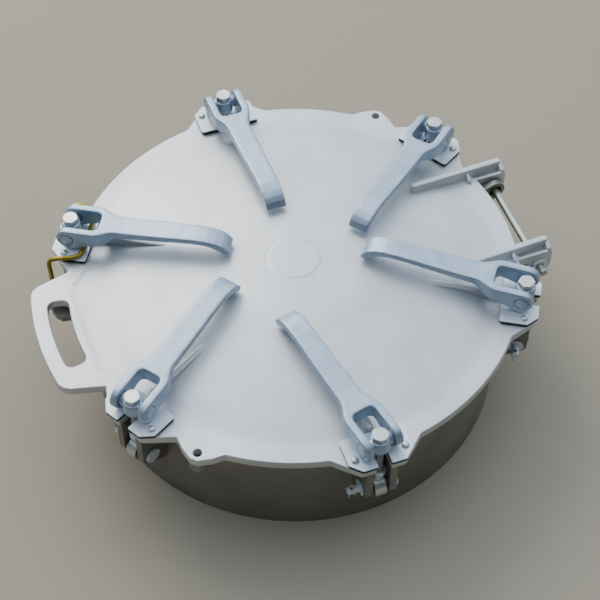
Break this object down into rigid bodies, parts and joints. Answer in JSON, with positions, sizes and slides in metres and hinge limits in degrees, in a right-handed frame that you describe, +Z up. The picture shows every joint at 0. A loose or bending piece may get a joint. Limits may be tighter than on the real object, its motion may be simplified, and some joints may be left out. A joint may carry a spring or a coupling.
{
  "type": "hinged manhole cover",
  "caption": "Round domed manhole cover hinged on a short flanged neck, held shut by swing clamps with forked cam levers, with a handle and a wire safety catch.",
  "frame": {"origin": "centre of the neck's bottom face", "axes": "+Z up through the lid, +Y towards the hinge, -Y towards the handle, +X towards clamp 1"},
  "size_m": [0.605, 0.6444, 0.214],
  "materials": {
    "cast_lid": "sand-cast aluminium, light satin grey",
    "cast_neck": "aluminium, dull and darker than the lid",
    "galvanised": "hot-dip galvanised forging, bluish grey",
    "plated_steel": "zinc-plated steel",
    "bright_zinc": "bright blue-white zinc plate",
    "rubber": "matt black rubber",
    "yellow_chromate": "steel wire, yellow chromate over zinc"
  },
  "bodies": {
    "neck_and_lid": {"neck": "cast_neck", "lid": "cast_lid", "lid_gasket": "rubber", "hinge_rod": "bright_zinc", "hinge_washer_left": "bright_zinc", "hinge_washer_right": "bright_zinc", "hinge_split_pin_left": "plated_steel", "hinge_split_pin_right": "plated_steel", "safety_catch": "yellow_chromate", "wear_plate_1": "bright_zinc", "wear_plate_2": "bright_zinc", "wear_plate_3": "bright_zinc", "wear_plate_4": "bright_zinc", "wear_plate_5": "bright_zinc", "wear_plate_6": "bright_zinc", "rubber_pad_1": "rubber", "rubber_pad_2": "rubber", "rubber_pad_3": "rubber", "rubber_pad_4": "rubber", "rubber_pad_5": "rubber", "rubber_pad_6": "rubber", "pivot_pin_1": "bright_zinc", "pivot_pin_2": "bright_zinc", "pivot_pin_3": "bright_zinc", "pivot_pin_4": "bright_zinc", "pivot_pin_5": "bright_zinc", "pivot_pin_6": "bright_zinc", "split_pin_1": "plated_steel", "split_pin_2": "plated_steel", "split_pin_3": "plated_steel", "split_pin_4": "plated_steel", "split_pin_5": "plated_steel", "split_pin_6": "plated_steel"},
    "rod_1": {"eye_rod_1": "plated_steel", "hex_bolt_1": "plated_steel"},
    "swivel_1": {"trunnion_1": "galvanised"},
    "lever_1": {"lever_1": "galvanised"},
    "rod_2": {"eye_rod_2": "plated_steel", "hex_bolt_2": "plated_steel"},
    "swivel_2": {"trunnion_2": "galvanised"},
    "lever_2": {"lever_2": "galvanised"},
    "rod_3": {"eye_rod_3": "plated_steel", "hex_bolt_3": "plated_steel"},
    "swivel_3": {"trunnion_3": "galvanised"},
    "lever_3": {"lever_3": "galvanised"},
    "rod_4": {"eye_rod_4": "plated_steel", "hex_bolt_4": "plated_steel"},
    "swivel_4": {"trunnion_4": "galvanised"},
    "lever_4": {"lever_4": "galvanised"},
    "rod_5": {"eye_rod_5": "plated_steel", "hex_bolt_5": "plated_steel"},
    "swivel_5": {"trunnion_5": "galvanised"},
    "lever_5": {"lever_5": "galvanised"},
    "rod_6": {"eye_rod_6": "plated_steel", "hex_bolt_6": "plated_steel"},
    "swivel_6": {"trunnion_6": "galvanised"},
    "lever_6": {"lever_6": "galvanised"}
  },
  "joints": [
    {"name": "clamp_1_swing", "type": "hinge", "parent": "neck_and_lid", "child": "rod_1", "pos_m": [0.283, 0, 0.105], "axis": [0, 1, 0], "range_deg": [0, 44]},
    {"name": "clamp_1_swivel", "type": "hinge", "parent": "rod_1", "child": "swivel_1", "pos_m": [0.283, 0, 0.193], "axis": [0, 0, 1], "range_deg": [-5, 5]},
    {"name": "clamp_1_lever", "type": "hinge", "parent": "swivel_1", "child": "lever_1", "pos_m": [0.283, 0, 0.193], "axis": [-0.2113, 0.9774, 0], "range_deg": [0, 110]},
    {"name": "clamp_2_swing", "type": "hinge", "parent": "neck_and_lid", "child": "rod_2", "pos_m": [0.1415, 0.24508, 0.105], "axis": [-0.866, 0.5, 0], "range_deg": [0, 44]},
    {"name": "clamp_2_swivel", "type": "hinge", "parent": "rod_2", "child": "swivel_2", "pos_m": [0.1415, 0.24508, 0.193], "axis": [0, 0, 1], "range_deg": [-5, 5]},
    {"name": "clamp_2_lever", "type": "hinge", "parent": "swivel_2", "child": "lever_2", "pos_m": [0.1415, 0.24508, 0.193], "axis": [-0.7986, 0.6018, 0], "range_deg": [0, 110]},
    {"name": "clamp_3_swing", "type": "hinge", "parent": "neck_and_lid", "child": "rod_3", "pos_m": [-0.1415, 0.24508, 0.105], "axis": [-0.866, -0.5, 0], "range_deg": [0, 44]},
    {"name": "clamp_3_swivel", "type": "hinge", "parent": "rod_3", "child": "swivel_3", "pos_m": [-0.1415, 0.24508, 0.193], "axis": [0, 0, 1], "range_deg": [-5, 5]},
    {"name": "clamp_3_lever", "type": "hinge", "parent": "swivel_3", "child": "lever_3", "pos_m": [-0.1415, 0.24508, 0.193], "axis": [-0.776, -0.6307, 0], "range_deg": [0, 110]},
    {"name": "clamp_4_swing", "type": "hinge", "parent": "neck_and_lid", "child": "rod_4", "pos_m": [-0.283, 0, 0.105], "axis": [0, -1, 0], "range_deg": [0, 44]},
    {"name": "clamp_4_swivel", "type": "hinge", "parent": "rod_4", "child": "swivel_4", "pos_m": [-0.283, 0, 0.193], "axis": [0, 0, 1], "range_deg": [-5, 5]},
    {"name": "clamp_4_lever", "type": "hinge", "parent": "swivel_4", "child": "lever_4", "pos_m": [-0.283, 0, 0.193], "axis": [0.0227, -0.9997, 0], "range_deg": [0, 110]},
    {"name": "clamp_5_swing", "type": "hinge", "parent": "neck_and_lid", "child": "rod_5", "pos_m": [-0.1415, -0.24508, 0.105], "axis": [0.866, -0.5, 0], "range_deg": [0, 44]},
    {"name": "clamp_5_swivel", "type": "hinge", "parent": "rod_5", "child": "swivel_5", "pos_m": [-0.1415, -0.24508, 0.193], "axis": [0, 0, 1], "range_deg": [-5, 5]},
    {"name": "clamp_5_lever", "type": "hinge", "parent": "swivel_5", "child": "lever_5", "pos_m": [-0.1415, -0.24508, 0.193], "axis": [0.8634, -0.5045, 0], "range_deg": [0, 110]},
    {"name": "clamp_6_swing", "type": "hinge", "parent": "neck_and_lid", "child": "rod_6", "pos_m": [0.1415, -0.24508, 0.105], "axis": [0.866, 0.5, 0], "range_deg": [0, 44]},
    {"name": "clamp_6_swivel", "type": "hinge", "parent": "rod_6", "child": "swivel_6", "pos_m": [0.1415, -0.24508, 0.193], "axis": [0, 0, 1], "range_deg": [-5, 5]},
    {"name": "clamp_6_lever", "type": "hinge", "parent": "swivel_6", "child": "lever_6", "pos_m": [0.1415, -0.24508, 0.193], "axis": [0.7848, 0.6198, 0], "range_deg": [0, 110]}
  ],
  "couplings": [
    {"joint": "clamp_1_swing", "follows": "clamp_1_lever", "ratio": 0.4},
    {"joint": "clamp_2_swing", "follows": "clamp_2_lever", "ratio": 0.4},
    {"joint": "clamp_3_swing", "follows": "clamp_3_lever", "ratio": 0.4},
    {"joint": "clamp_4_swing", "follows": "clamp_4_lever", "ratio": 0.4},
    {"joint": "clamp_5_swing", "follows": "clamp_5_lever", "ratio": 0.4},
    {"joint": "clamp_6_swing", "follows": "clamp_6_lever", "ratio": 0.4}
  ]
}
